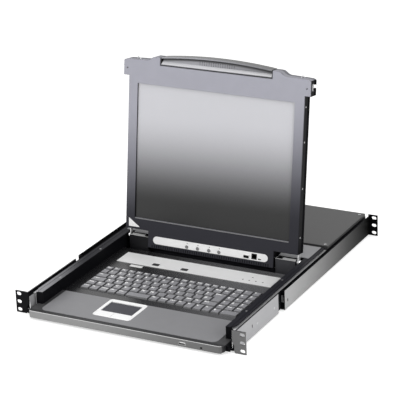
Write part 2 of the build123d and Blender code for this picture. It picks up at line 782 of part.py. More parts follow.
def key_row(limits, front, depth):
    """Rectangles for one row of keys in the sketch being drawn."""
    for left, right in zip(limits, limits[1:]):
        if right - left > key_gap + stem_size:
            rect((left + key_gap / 2, right - key_gap / 2), (front + key_gap / 2, front + depth - key_gap / 2))


def stem_row(limits, front, depth):
    """Squares at the middle of each key of one row in the sketch being drawn."""
    for left, right in zip(limits, limits[1:]):
        if right - left > key_gap + stem_size:
            with Locations(((left + right) / 2, front + depth / 2)):
                Rectangle(stem_size, stem_size)


for block_name, rows in key_rows.items():
    with BuildPart() as keys:
        with BuildSketch(Plane.XY.offset(key_bottom)):
            for limits, front, depth in rows:
                key_row(limits, front, depth)
        extrude(amount=key_height, taper=key_taper)
        with BuildSketch(Plane.XY.offset(key_bottom)):
            for limits, front, depth in rows:
                stem_row(limits, front, depth)
        extrude(amount=-stem_length)
    finish(keys, block_name)

with BuildPart() as enter_key:
    with BuildSketch(Plane.XY.offset(key_bottom)):
        rect((enter_left_upper + key_gap / 2, typing_right - key_gap / 2),
             (tab_front + key_gap / 2, tab_front + key_pitch - key_gap / 2))
        rect((enter_left_lower + key_gap / 2, typing_right - key_gap / 2),
             (caps_front + key_gap / 2, tab_front + key_pitch - key_gap / 2))
    extrude(amount=key_height, taper=key_taper)
    with BuildSketch(Plane.XY.offset(key_bottom)):
        with Locations(enter_middle):
            Rectangle(stem_size, stem_size)
    extrude(amount=-stem_length)
finish(enter_key, "enter_key")

# Key base: the plate whose grooves guide the keys' stems, on feet that stand on the drawer's floor.
with BuildPart() as key_base:
    block((key_field_left - 4.0, key_field_right + 4.0), (key_field_front - 4.0, key_field_rear + 4.0),
          (base_top - base_thickness, base_top))
    with BuildSketch(Plane.XY.offset(base_top)):
        for rows in key_rows.values():
            for limits, front, depth in rows:
                middle = front + depth / 2
                rect((limits[0] + 2.0, limits[-1] - 2.0),
                     (middle - stem_size / 2 - stem_gap, middle + stem_size / 2 + stem_gap))
        with Locations(enter_middle):
            Rectangle(stem_size + 2 * stem_gap, stem_size + 2 * stem_gap)
    extrude(amount=-base_thickness, mode=Mode.SUBTRACT)
    with BuildSketch(Plane.XY.offset(pan_top)):
        with Locations((0.0, (key_field_front + key_field_rear) / 2)):
            with GridLocations(2 * (key_field_right + 1.0), key_field_rear - key_field_front + 2.0, 2, 2):
                RegularPolygon(2.5, 6)
    extrude(amount=base_top - base_thickness - pan_top)
finish(key_base, "key_base")

# Port panel: a thin metal plate behind the keys with two port buttons.
panel_thickness = 1.4
panel_top = panel_seat + panel_thickness
port_button_y = 259.5
port_button_xs = {"left": -84.8, "right": -22.0}
port_button_travel = 1.0
with BuildPart() as port_panel:
    with BuildSketch(Plane.XY.offset(panel_seat)):
        rect((-panel_half_width, panel_half_width), (panel_front, panel_rear))
        with Locations(*[(x, port_button_y) for x in port_button_xs.values()]):
            Rectangle(port_button_width + 0.6, port_button_depth + 0.6, mode=Mode.SUBTRACT)
    extrude(amount=panel_thickness)
    chamfer(port_panel.faces().sort_by(Axis.Z)[-1].outer_wire().edges(), 0.3)
finish(port_panel, "port_panel")

for name, x in port_button_xs.items():
    with BuildPart() as port_button:
        with BuildSketch(Plane.XY.offset(panel_seat + port_button_travel + 0.1)):
            with Locations((x, port_button_y)):
                Rectangle(port_button_width, port_button_depth)
        extrude(amount=panel_top + 1.2 - panel_seat - port_button_travel - 0.1)
        chamfer(port_button.faces().sort_by(Axis.Z)[-1].edges(), 0.4)
    finish(port_button, f"port_button_{name}")

# Console board under the port panel, on feet that stand on the drawer's floor.
with BuildPart() as console_board:
    block((-120.0, 150.0), (240.0, 305.0), (-12.6, -11.0))
    with BuildSketch(Plane.XY.offset(-11.0)):
        with Locations((0.0, 270.0), (60.0, 275.0), (110.0, 262.0)):
            Rectangle(22.0, 22.0)
    extrude(amount=2.0)
    with BuildSketch(Plane.XY.offset(pan_top)):
        with Locations((15.0, 272.0)):
            with GridLocations(240.0, 50.0, 2, 2):
                RegularPolygon(3.0, 6)
    extrude(amount=-12.6 - pan_top)
finish(console_board, "console_board")

# USB socket in the lip: a folded shield round the opening, with its tongue.
usb_depth = 14.0
with BuildPart() as usb_socket:
    with BuildSketch(facing_front(lip_front + 0.3)):
        with Locations((usb_x, usb_level)):
            Rectangle(usb_width - 0.2, usb_height - 0.2)
            Rectangle(usb_width - 0.9, usb_height - 0.9, mode=Mode.SUBTRACT)
    extrude(amount=-usb_depth)
    block((usb_x - usb_width / 2 + 0.3, usb_x + usb_width / 2 - 0.3),
          (lip_front + usb_depth - 0.7, lip_front + usb_depth + 0.3),
          (usb_level - usb_height / 2 + 0.3, usb_level + usb_height / 2 - 0.3))
    block((usb_x - 5.6, usb_x + 5.6), (lip_front + 2.0, lip_front + usb_depth),
          (usb_level + 0.4, usb_level + 1.8))
    block((usb_x - 5.0, usb_x + 5.0), (lip_front + 6.0, lip_front + usb_depth + 0.3),
          (drawer_bottom + sheet, usb_level - usb_height / 2 + 0.3))
finish(usb_socket, "usb_socket")

with BuildPart() as reset_button:
    block((reset_x - reset_size / 2 + 0.3, reset_x + reset_size / 2 - 0.3),
          (lip_front + 1.0, lip_front + 5.0),
          (reset_level - reset_size / 2 + 0.3, reset_level + reset_size / 2 - 0.3))
finish(reset_button, "reset_button")

# Screen. Its own frame starts on the hinge axis: X stays, the second axis runs up the screen and the third
# one out of its front. Folded down by the tilt and a right angle, its front lies just above the deck.
tilt = radians(screen_tilt)
screen_frame = Plane(origin=(0, axis_depth, axis_height), x_dir=(1, 0, 0), z_dir=(0, -cos(tilt), sin(tilt)))
screen_back = screen_front - screen_thickness
split_level = screen_front - frame_depth


def on_screen(level):
    """The plane at a level along the screen's own normal."""
    return screen_frame.offset(level)


def screen_outline(level):
    """The outline of the screen with its top bar and the notch for the handle, at a level."""
    with BuildSketch(on_screen(level)) as outline:
        with BuildLine():
            foot = Polyline(
                (0.0, body_bottom),
                (notch_inside, body_bottom),
                (notch_inside, notch_top),
                (body_half_width, notch_top),
                (body_half_width, bar_bottom),
                (bar_half_width, bar_bottom),
                (bar_half_width, bar_shoulder),
            )
            end = Spline(
                foot @ 1,
                (bar_half_width - 3.0, bar_shoulder + 3.6),
                (bar_half_width - 12.0, bar_shoulder + 4.8),
                tangents=[(0, 1), (-1, 0.08)],
            )
            ramp = Line(end @ 1, (hump_foot + 6.0, bar_top))
            rise = Spline(ramp @ 1, (hump_outside, hump_top), tangents=[(-1, 0.02), (-1, 0.02)])
            Polyline(rise @ 1, (hump_inside, hump_top), (hump_inside, grip_floor), (0.0, grip_floor))
            mirror(about=Plane.YZ)
        make_face()
    return outline.sketch


# Sizes that the screen's pieces share.
pocket_half_width = body_half_width - shell_wall
front_wall = 3.0
face_level = screen_front - front_wall
back_inside = screen_back + shell_wall
screen_normal = Axis(screen_frame.origin, screen_frame.z_dir)
button_xs = (-50.4, -26.4, -1.4, 20.5)
button_height = -1.0
button_radius = 3.4
button_travel = 0.7
jack_x = 97.0
jack_size = 11.4
service_x = 80.0
service_width = 14.0
service_height = 7.4
socket_gap = 0.2
catch_end = bar_half_width - shell_wall - 0.2
catch_inside = catch_end - 11.2
catch_outside = bar_half_width + 10.7
catch_travel = 3.0
catch_low = 337.0
catch_high = 351.0
catch_back = -2.0
catch_front = 10.4
catch_gap = 0.3
arm_half_width = 4.0
arm_eye = 6.0


def pocket():
    """Rectangles for the hollow inside the screen and its bar ends, in the sketch being drawn."""
    rect((-pocket_half_width, pocket_half_width), (notch_top + shell_wall, bar_bottom + 20.0))
    rect((shell_wall - notch_inside, notch_inside - shell_wall), (body_bottom + shell_wall, notch_top + 5.0))
    for side, name in sides:
        rect((side * (catch_inside - catch_travel - 0.5), side * (bar_half_width - shell_wall)),
             (bar_bottom + shell_wall, catch_high + catch_gap))


def arm_slots():
    """Sketch of the slots through which the hinge arms enter the screen."""
    with BuildSketch(on_screen(-arm_half_width - 0.6)) as slots:
        for side, name in sides:
            rect((side * (arm_inside - 0.5), side * (arm_inside + arm_steel + 0.5)),
                 (notch_top - 1.0, notch_top + shell_wall + 1.0))
    return slots.sketch


def catch_slots():
    """Sketch of the openings for the catches in the ends of the top bar."""
    with BuildSketch(on_screen(catch_back - catch_gap)) as slots:
        for side, name in sides:
            rect((side * (bar_half_width - shell_wall - 1.0), side * (bar_half_width + 1.0)),
                 (catch_low - catch_gap, catch_high + catch_gap))
    return slots.sketch


# Front frame: the shell round the display, with the control section between the hinges and the top bar.
with BuildPart() as lcd_front_frame:
    extrude(screen_outline(split_level + 0.1), amount=frame_depth - 0.1)
    chamfer(lcd_front_frame.faces().sort_by(screen_normal)[-1].outer_wire().edges(), 0.8)
    with BuildSketch(on_screen(split_level)):
        pocket()
    extrude(amount=frame_depth - front_wall, mode=Mode.SUBTRACT)
    with BuildSketch(on_screen(split_level)):
        rect((-opening_half_width, opening_half_width), (opening_bottom, opening_top))
    extrude(amount=frame_depth, mode=Mode.SUBTRACT)
    with BuildSketch(on_screen(screen_front - 0.9)):
        with Locations((0.0, strip_height)):
            SlotOverall(2 * strip_half_length + 0.4, strip_width + 0.4)
    extrude(amount=2.0, mode=Mode.SUBTRACT)
    with BuildSketch(on_screen(screen_front - 2.0)):
        rect((button_xs[0] - button_radius - 0.5, button_xs[-1] + button_radius + 0.5),
             (button_height - button_radius - 0.5, button_height + button_radius + 0.5))
    extrude(amount=2.0, mode=Mode.SUBTRACT)
    with BuildSketch(on_screen(split_level)):
        with Locations((jack_x, strip_height)):
            Rectangle(jack_size + 2 * socket_gap, jack_size + 2 * socket_gap)
        with Locations((service_x, strip_height - 2.6)):
            Rectangle(service_width + 2 * socket_gap, service_height + 2 * socket_gap)
    extrude(amount=frame_depth, mode=Mode.SUBTRACT)
    extrude(arm_slots(), amount=2 * arm_half_width + 1.2, mode=Mode.SUBTRACT)
    extrude(catch_slots(), amount=catch_front - catch_back + 2 * catch_gap, mode=Mode.SUBTRACT)
finish(lcd_front_frame, "lcd_front_frame")

# Back cover: the rear shell, with two fields of vents.
with BuildPart() as lcd_back_cover:
    extrude(screen_outline(screen_back), amount=split_level - screen_back)
    chamfer(lcd_back_cover.faces().sort_by(screen_normal)[0].outer_wire().edges(), 1.6)
    with BuildSketch(on_screen(back_inside)):
        pocket()
    extrude(amount=split_level - back_inside, mode=Mode.SUBTRACT)
    with BuildSketch(on_screen(screen_back)):
        with Locations((0.0, 70.0), (0.0, 290.0)):
            with GridLocations(16.0, 1.0, 9, 1):
                Rectangle(5.0, 22.0)
    extrude(amount=shell_wall, mode=Mode.SUBTRACT)
    extrude(arm_slots(), amount=2 * arm_half_width + 1.2, mode=Mode.SUBTRACT)
    extrude(catch_slots(), amount=catch_front - catch_back + 2 * catch_gap, mode=Mode.SUBTRACT)
finish(lcd_back_cover, "lcd_back_cover")

# Display panel: a metal-framed module that seats behind the frame's opening.
panel_depth = 12.0
with BuildPart() as lcd_panel:
    with BuildSketch(on_screen(face_level - 0.1 - panel_depth)):
        rect((-opening_half_width - 9.9, opening_half_width + 9.9), (opening_bottom - 9.0, opening_top + 9.0))
    extrude(amount=panel_depth)
    chamfer(lcd_panel.faces().sort_by(screen_normal)[0].outer_wire().edges(), 2.0)
finish(lcd_panel, "lcd_panel")

# Display board on four bosses of the back cover.
with BuildPart() as lcd_board:
    with BuildSketch(on_screen(back_inside + 0.1)):
        with Locations((0.0, 180.0)):
            with GridLocations(150.0, 80.0, 2, 2):
                RegularPolygon(3.0, 6)
    extrude(amount=2.0)
    with BuildSketch(on_screen(back_inside + 2.1)):
        rect((-85.0, 85.0), (130.0, 230.0))
    extrude(amount=1.6)
    with BuildSketch(on_screen(back_inside + 3.7)):
        with Locations((-30.0, 180.0), (35.0, 190.0)):
            Rectangle(26.0, 26.0)
        with Locations((0.0, 138.0)):
            Rectangle(60.0, 8.0)
    extrude(amount=2.0)
finish(lcd_board, "lcd_board")

# Pull handle: an arched insert in the top bar, sunk for the fingers between its rim and a sloping sill.
grip_low = grip_floor + grip_gap
grip_half = hump_inside - grip_gap
grip_front = screen_front - 0.6
grip_round = 4.0
grip_foot_depth = 12.0
with BuildPart() as pull_handle:
    with BuildSketch(on_screen(screen_back)):
        with BuildLine():
            sill = Polyline((-grip_half, grip_end), (-grip_half, grip_low), (grip_half, grip_low),
                            (grip_half, grip_end))
            ThreePointArc(sill @ 1, (0.0, grip_crown), sill @ 0)
        make_face()
    extrude(amount=grip_front - screen_back)
    with BuildSketch(on_screen(grip_front - grip_depth)):
        with BuildLine():
            ledge = Polyline((-grip_half - 1.0, grip_end - grip_rim), (-grip_half - 1.0, grip_low + grip_sill),
                             (grip_half + 1.0, grip_low + grip_sill), (grip_half + 1.0, grip_end - grip_rim))
            ThreePointArc(ledge @ 1, (0.0, grip_crown - grip_rim), ledge @ 0)
        make_face()
    extrude(amount=grip_depth, mode=Mode.SUBTRACT)
    grip_edges = pull_handle.edges().filter_by(GeomType.CIRCLE).group_by(screen_normal)
    fillet(grip_edges[1], grip_round)
    with BuildSketch(Plane(origin=(-grip_half - 1.0, axis_depth, axis_height),
                           x_dir=(0, sin(tilt), cos(tilt)), z_dir=(1, 0, 0))):
        polygon([
            (grip_low + 1.2, grip_front),
            (grip_low + grip_sill, grip_front),
            (grip_low + grip_sill, grip_front - grip_depth),
        ])
    extrude(amount=2 * grip_half + 2.0, mode=Mode.SUBTRACT)
    with BuildSketch(on_screen(screen_back + 3.0)):
        rect((-grip_half, grip_half), (grip_floor + 0.1, grip_low + 1.0))
    extrude(amount=grip_foot_depth)
finish(pull_handle, "pull_handle")

# Catches: sprung sliders in the bar's ends, each with a metal tab beyond the end.
hook_low = 344.8
hook_front = 10.2
hook_steel = 2.4
for side, name in sides:
    with BuildPart() as catch:
        with BuildSketch(on_screen(catch_back)):
            rect((side * catch_inside, side * catch_end), (catch_low, catch_high))
            rect((side * (catch_inside + 2.0), side * (catch_end - 1.6)), (catch_low + 2.0, hook_low - 1.0),
                 Mode.SUBTRACT)
        extrude(amount=catch_front - catch_back)
        with BuildSketch(on_screen(hook_front - hook_steel)):
            rect((side * (catch_end - 0.2), side * catch_outside), (hook_low, catch_high - 0.2))
            fillet(vertices().group_by(Axis.X)[-1 if side > 0 else 0], 1.2)
        extrude(amount=hook_steel)
    finish(catch, f"catch_{name}")

# Hinge arms: steel arms with an eye on the pin and a leaf inside the back cover.
with BuildPart() as hinge_arms:
    for side, name in sides:
        with BuildSketch(Plane(origin=(side * arm_inside, axis_depth, axis_height),
                               x_dir=(0, sin(tilt), cos(tilt)), z_dir=(1, 0, 0))):
            Circle(arm_eye)
            rect((0.0, 26.0), (-arm_half_width, arm_half_width))
            rect((23.0, 62.0), (back_inside + 0.1, arm_half_width - 4.2))
            Circle(pin_radius + pin_clearance, mode=Mode.SUBTRACT)
        extrude(amount=side * arm_steel)
        with BuildSketch(on_screen(back_inside + 0.1)):
            rect((side * (notch_inside + 4.0), side * (arm_inside + arm_steel)), (24.0, 62.0))
        extrude(amount=1.8)
finish(hinge_arms, "hinge_arms")

# Control strip: a rounded plate below the display, with the buttons' holes and the sockets' windows.
with BuildPart() as control_strip:
    with BuildSketch(on_screen(screen_front - 0.9)):
        with Locations((0.0, strip_height)):
            SlotOverall(2 * strip_half_length, strip_width)
        with Locations(*[(x, button_height) for x in button_xs]):
            Circle(button_radius + 0.3, mode=Mode.SUBTRACT)
        with Locations((jack_x, strip_height)):
            Rectangle(jack_size + 2 * socket_gap, jack_size + 2 * socket_gap, mode=Mode.SUBTRACT)
        with Locations((service_x, strip_height - 2.6)):
            Rectangle(service_width + 2 * socket_gap, service_height + 2 * socket_gap, mode=Mode.SUBTRACT)
    extrude(amount=1.4)
    chamfer(control_strip.faces().sort_by(screen_normal)[-1].outer_wire().edges(), 0.3)
finish(control_strip, "control_strip")

button_names = ("menu", "up", "down", "select")
for name, x in zip(button_names, button_xs):
    with BuildPart() as control_button:
        with BuildSketch(on_screen(screen_front - 2.0 + button_travel + 0.1)):
            with Locations((x, button_height)):
                Circle(button_radius)
        extrude(amount=2.2)
    finish(control_button, f"control_button_{name}")

# Control sockets: a jack and a service port on a small board behind the strip.
socket_base = 0.6
with BuildPart() as control_sockets:
    with BuildSketch(on_screen(socket_base)):
        rect((66.0, 120.0), (strip_height - 11.0, strip_height + 9.0))
    extrude(amount=1.4)
    with BuildSketch(on_screen(socket_base + 1.0)):
        with Locations((jack_x, strip_height)):
            Rectangle(jack_size, jack_size)
        with Locations((service_x, strip_height - 2.6)):
            Rectangle(service_width, service_height)
    extrude(amount=screen_front + 0.3 - socket_base - 1.0)
    with BuildSketch(on_screen(socket_base + 5.0)):
        with Locations((jack_x, strip_height)):
            Rectangle(jack_size - 2.0, jack_size - 4.0)
        with Locations((jack_x, strip_height + 4.0)):
            Rectangle(4.0, 2.4)
        with Locations((service_x, strip_height - 2.6)):
            Rectangle(service_width - 1.6, service_height - 1.6)
    extrude(amount=screen_front, mode=Mode.SUBTRACT)
    with BuildSketch(on_screen(socket_base + 4.5)):
        with Locations((service_x, strip_height - 2.6)):
            Rectangle(service_width - 4.0, 1.6)
    extrude(amount=9.0)
finish(control_sockets, "control_sockets")
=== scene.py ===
from math import cos, radians, sin

import bmesh
import bpy
from mathutils import Matrix, Vector


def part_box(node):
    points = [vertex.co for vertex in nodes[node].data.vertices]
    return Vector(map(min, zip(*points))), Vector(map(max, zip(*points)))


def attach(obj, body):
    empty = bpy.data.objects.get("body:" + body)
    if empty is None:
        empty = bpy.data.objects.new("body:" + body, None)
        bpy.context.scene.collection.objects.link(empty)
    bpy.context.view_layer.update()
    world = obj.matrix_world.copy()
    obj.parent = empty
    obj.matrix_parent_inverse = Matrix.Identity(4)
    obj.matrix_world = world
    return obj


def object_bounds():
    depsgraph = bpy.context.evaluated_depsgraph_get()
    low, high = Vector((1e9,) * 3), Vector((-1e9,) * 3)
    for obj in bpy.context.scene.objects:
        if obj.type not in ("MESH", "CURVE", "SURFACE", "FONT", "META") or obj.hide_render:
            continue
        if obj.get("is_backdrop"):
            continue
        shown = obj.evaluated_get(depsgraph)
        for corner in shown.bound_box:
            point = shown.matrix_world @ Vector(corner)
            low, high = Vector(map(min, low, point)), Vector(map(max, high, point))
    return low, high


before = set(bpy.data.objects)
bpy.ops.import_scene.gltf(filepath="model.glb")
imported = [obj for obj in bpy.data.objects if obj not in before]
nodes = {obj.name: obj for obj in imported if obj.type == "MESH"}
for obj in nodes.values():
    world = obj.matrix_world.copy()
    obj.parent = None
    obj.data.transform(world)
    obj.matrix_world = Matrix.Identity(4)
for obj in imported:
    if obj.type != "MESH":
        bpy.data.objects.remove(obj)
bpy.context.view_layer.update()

MM = 0.001

# The screen's own frame: X stays, u runs up the screen from the hinge axis and n comes out of its front.
TILT = radians(8.2)
AXIS = Vector((0.0, 341.3 * MM, 12.0 * MM))
UP = Vector((0.0, sin(TILT), cos(TILT)))
OUT = Vector((0.0, -cos(TILT), sin(TILT)))
SCREEN_FRONT = 16.2
STRIP_FRONT = 16.7
GRIP_LEVEL = 10.1

CORNERS = ((-1, -1), (1, -1), (1, 1), (-1, 1))


def on_screen(x, u, n):
    """The point at x, u and n millimetres in the screen's frame."""
    return AXIS + Vector((x * MM, 0.0, 0.0)) + UP * (u * MM) + OUT * (n * MM)


def tone(level, cool=0.0):
    """A display grey of 0 to 255 as a linear colour, with more blue where cool is above zero."""
    share = level / 255.0
    value = share / 12.92 if share <= 0.04045 else ((share + 0.055) / 1.055) ** 2.4
    return (value, value, value * (1.0 + cool), 1.0)


# Materials
FRONT = Vector((0.0, -1.0, 0.0))
TOP = Vector((0.0, 0.0, 1.0))
RIGHT = Vector((1.0, 0.0, 0.0))
# Sizes in millimetres, and how far the grain moves the roughness either way
MOTTLE_SIZE = 25.0
GRAIN_DEPTH = 0.2
ROUGHNESS_SPREAD = 0.06


def noise(tree, vector, size, detail):
    """A noise texture whose features are about size millimetres across."""
    made = tree.nodes.new("ShaderNodeTexNoise")
    made.inputs["Scale"].default_value = 1.0 / (size * MM)
    made.inputs["Detail"].default_value = detail
    tree.links.new(vector, made.inputs["Vector"])
    return made.outputs["Fac"]


def blended(tree, below, above, factor):
    """The colour that goes from below to above with the factor."""
    mix = tree.nodes.new("ShaderNodeMix")
    mix.data_type = "RGBA"
    tree.links.new(factor, mix.inputs["Factor"])
    for socket, value in ((mix.inputs["A"], below), (mix.inputs["B"], above)):
        if isinstance(value, tuple):
            socket.default_value = value
        else:
            tree.links.new(value, socket)
    return mix.outputs["Result"]


def along(tree, coordinate, direction, low=0.55, high=0.85):
    """A smooth share from 0 at low to 1 at high, along a direction in object coordinates or of the normal."""
    dot = tree.nodes.new("ShaderNodeVectorMath")
    dot.operation = "DOT_PRODUCT"
    dot.inputs[1].default_value = direction
    tree.links.new(coordinate, dot.inputs[0])
    share = tree.nodes.new("ShaderNodeMapRange")
    share.interpolation_type = "SMOOTHSTEP"
    share.inputs["From Min"].default_value = low
    share.inputs["From Max"].default_value = high
    tree.links.new(dot.outputs["Value"], share.inputs["Value"])
    return share.outputs["Result"]


def ramp(direction, low, high, below, above):
    """A colour that goes smoothly from below to above between two places, in metres, along a direction."""
    return (direction, low, high, below, above)


def painted(tree, place, color):
    """A plain colour as it is, or the socket of a ramp over object coordinates."""
    if len(color) == 4:
        return color
    direction, low, high, below, above = color
    return blended(tree, below, above, along(tree, place.outputs["Object"], direction, low, high))


def surface(name, color, roughness, metallic=0.0, grain=0.1, grain_size=0.5, mottle=0.05, specular=0.5,
            stretch=(1.0, 1.0, 1.0), facing=()):
    """A shader with fine grain in its bump and roughness and a faint mottle in its colour.

    A colour is plain or a ramp. facing is a list of directions, each with the colour of the faces that look
    that way.
    """
    material = bpy.data.materials.new(name)
    material.use_nodes = True
    tree = material.node_tree
    shader = tree.nodes["Principled BSDF"]
    shader.inputs["Metallic"].default_value = metallic
    shader.inputs["Specular IOR Level"].default_value = specular

    place = tree.nodes.new("ShaderNodeTexCoord")
    mapping = tree.nodes.new("ShaderNodeMapping")
    mapping.inputs["Scale"].default_value = stretch
    tree.links.new(place.outputs["Object"], mapping.inputs["Vector"])
    fine = noise(tree, mapping.outputs["Vector"], grain_size, 3.0)
    broad = noise(tree, mapping.outputs["Vector"], MOTTLE_SIZE, 4.0)

    tint = painted(tree, place, color)
    for direction, target in facing:
        looks = along(tree, place.outputs["Normal"], direction)
        tint = blended(tree, tint, painted(tree, place, target), looks)
    shade = tree.nodes.new("ShaderNodeMapRange")
    shade.inputs["To Min"].default_value = 1.0 - mottle
    shade.inputs["To Max"].default_value = 1.0 + mottle
    tree.links.new(broad, shade.inputs["Value"])
    scaled = tree.nodes.new("ShaderNodeVectorMath")
    scaled.operation = "SCALE"
    if isinstance(tint, tuple):
        scaled.inputs[0].default_value = tint[:3]
    else:
        tree.links.new(tint, scaled.inputs[0])
    tree.links.new(shade.outputs["Result"], scaled.inputs["Scale"])
    tree.links.new(scaled.outputs["Vector"], shader.inputs["Base Color"])

    rough = tree.nodes.new("ShaderNodeMapRange")
    rough.inputs["To Min"].default_value = max(0.05, roughness - ROUGHNESS_SPREAD)
    rough.inputs["To Max"].default_value = min(1.0, roughness + ROUGHNESS_SPREAD)
    tree.links.new(fine, rough.inputs["Value"])
    tree.links.new(rough.outputs["Result"], shader.inputs["Roughness"])

    bump = tree.nodes.new("ShaderNodeBump")
    bump.inputs["Strength"].default_value = grain
    bump.inputs["Distance"].default_value = GRAIN_DEPTH * MM
    tree.links.new(fine, bump.inputs["Height"])
    tree.links.new(bump.outputs["Normal"], shader.inputs["Normal"])
    return material


# Directions in which the lip's rounded edge and the handle's sill look, whose faces get a painted highlight.
# They are shorter than 1, so that the faces beside them, which look 45 degrees away, keep their own colour.
LIP_EDGE = (FRONT + TOP).normalized() * 0.82
SILL = (OUT + UP).normalized() * 0.775
BRUSHED_Y = (1.0, 0.05, 1.0)
BRUSHED_X = (0.05, 1.0, 1.0)
NAVY = 0.25
LEFT_FRONT = Vector((-1.0, -0.5, 0.0))
RIGHT_REAR = Vector((1.0, 0.6, 0.0))
TOP_LEFT = Vector((-0.15, 0.0, 1.0))
TOP_SLIGHTLY_LEFT = Vector((-0.04, 0.0, 1.0))

# Painted steel
black_coat = surface("black_coat", tone(14, NAVY), 0.6, grain_size=0.7, specular=0.03)
# The tops of the drawer's flanges get a painted highlight, bright at the left front end only.
drawer_coat = surface("drawer_coat", tone(14, NAVY), 0.45, grain_size=0.7, specular=0.05,
                      facing=[(TOP, ramp(LEFT_FRONT, 0.10, 0.20, tone(34, NAVY), tone(150, 0.05)))])
# The inner slides are black; their tops near the front get a painted highlight.
slide_coat = surface("slide_coat", tone(14, NAVY), 0.4, grain_size=0.7, specular=0.2,
                     facing=[(TOP, ramp(FRONT, -0.26, -0.10, tone(20, NAVY), tone(200, 0.02)))])
# The ears are black; the outward side is painted light grey as a painted reflection, and the tops near the
# front get a painted highlight.
ear_left_coat = surface("ear_left_coat", tone(13, NAVY), 0.5, grain_size=0.7, specular=0.06,
                        facing=[(-RIGHT, tone(168, 0.02)),
                                (TOP, ramp(FRONT, -0.26, -0.10, tone(20), tone(150)))])
# The right ear's outward side and front are painted lighter grey as a painted reflection on black paint.
ear_right_coat = surface("ear_right_coat", tone(13, NAVY), 0.4, grain_size=0.7, specular=0.3,
                         facing=[(RIGHT, tone(172, 0.03)), (FRONT, tone(108))])


def bracket_coat(name, outward):
    """Black paint with a painted reflection on the outward side, bright at the front and gone at the rear
    ear.
    """
    painted_sheen = ramp(FRONT, -0.605, -0.138, tone(8), tone(190))
    return surface(name, tone(8, NAVY), 0.5, grain_size=0.7, specular=0.03, facing=[(outward, painted_sheen)])


bracket_left_coat = bracket_coat("bracket_left_coat", -RIGHT)
bracket_right_coat = bracket_coat("bracket_right_coat", RIGHT)
cover_grey = surface("cover_grey", tone(85), 0.5, grain_size=0.7, mottle=0.03, specular=0.25)
plate_grey = surface("plate_grey", tone(146, 0.04), 0.45, grain_size=0.7, specular=0.35)

# Bare metal
# Faces that look to the front get a painted highlight, near white.
zinc = surface("zinc", tone(206, 0.02), 0.34, metallic=0.35, grain=0.06, stretch=BRUSHED_Y,
               facing=[(FRONT, tone(250))])
bright = surface("bright", tone(225), 0.22, metallic=0.7, grain=0.03)
panel_silver = surface("panel_silver", tone(236), 0.4, metallic=0.1, grain=0.06, stretch=BRUSHED_X)

# Mouldings
palm_plastic = surface("palm_plastic", tone(134, 0.04), 0.4, grain=0.14, specular=0.25)
# The lip's front face is painted lighter than its other faces and darker towards the right, painted light and
# shade, and its rounded top edge gets a painted highlight.
painted_lip_light = ramp(RIGHT, -0.12, 0.20, tone(150), tone(104))
lip_plastic = surface("lip_plastic", tone(30, 0.1), 0.45, grain=0.12, specular=0.2,
                      facing=[(FRONT, painted_lip_light), (LIP_EDGE, tone(235))])
# The deck goes from dark at the left front to lighter at the right rear, a painted sheen.
deck_plastic = surface("deck_plastic", ramp(RIGHT_REAR, 0.02, 0.26, tone(24, 0.1), tone(92, 0.04)), 0.26,
                       grain=0.05, specular=0.6)
dark_plastic = surface("dark_plastic", tone(34, 0.1), 0.45, grain=0.12)
# The hinge housings are lighter towards the right, and their top faces get a painted highlight.
housing_plastic = surface("housing_plastic", ramp(RIGHT, -0.10, 0.12, tone(26, 0.15), tone(58, 0.12)), 0.45,
                          grain=0.12, specular=0.3, facing=[(TOP, tone(215))])
black_plastic = surface("black_plastic", tone(12), 0.4, grain=0.06, specular=0.3)
# Key tops are painted lighter than their sides, painted light from above.
key_plastic = surface("key_plastic", tone(84, 0.06), 0.36, grain=0.1, grain_size=0.4,
                      facing=[(TOP, tone(140, 0.06))])
pad_white = surface("pad_white", tone(252), 0.45, grain=0.05, specular=0.4)
pad_dark = surface("pad_dark", tone(66, 0.2), 0.5, grain=0.16, grain_size=0.3, specular=0.2)
strip_white = surface("strip_white", tone(253), 0.35, grain=0.04)
button_grey = surface("button_grey", tone(128), 0.4, grain=0.06)
legend_white = surface("legend_white", tone(255), 0.6, grain=0.03)
mark_grey = surface("mark_grey", tone(120), 0.6, grain=0.03)
# Grey of the painted highlight along the display's lower edge
highlight_grey = surface("highlight_grey", tone(150), 0.4, grain=0.03)
board_green = surface("board_green", (0.02, 0.09, 0.04, 1.0), 0.45)

# Screen
# The frame's front goes from dark at the bottom to light at the top, a painted reflection of the studio.
painted_frame_reflection = ramp(TOP_LEFT, 0.065, 0.315, tone(56, 0.2), tone(172, 0.13))
# Up-facing faces of the black back cover get a painted highlight; its back faces are a little lighter than
# its sides.
shell_black = surface("shell_black", tone(10, NAVY), 0.8, grain=0.08, specular=0.02,
                      facing=[(UP, tone(120, 0.1)), (-OUT, tone(36, 0.15))])
# Up-facing faces of the frame get a painted highlight, and its front the painted reflection above.
screen_shell = surface("screen_shell", tone(10, NAVY), 0.55, grain=0.06, specular=0.05,
                       facing=[(UP, tone(150, 0.1)), (OUT, painted_frame_reflection)])
# The display goes from dark at the bottom to light at the top, a painted reflection of the studio.
display_film = surface("display_film", ramp(TOP_SLIGHTLY_LEFT, 0.095, 0.275, tone(44), tone(209, 0.05)), 0.28,
                       grain=0.02, grain_size=0.3, mottle=0.01, specular=0.3)
# The handle is darker towards the right, and its sill gets a painted highlight.
handle_grey = surface("handle_grey", ramp(RIGHT, -0.06, 0.12, tone(154, 0.08), tone(116, 0.08)), 0.34,
                      grain=0.06, facing=[(SILL, tone(226, 0.03))])


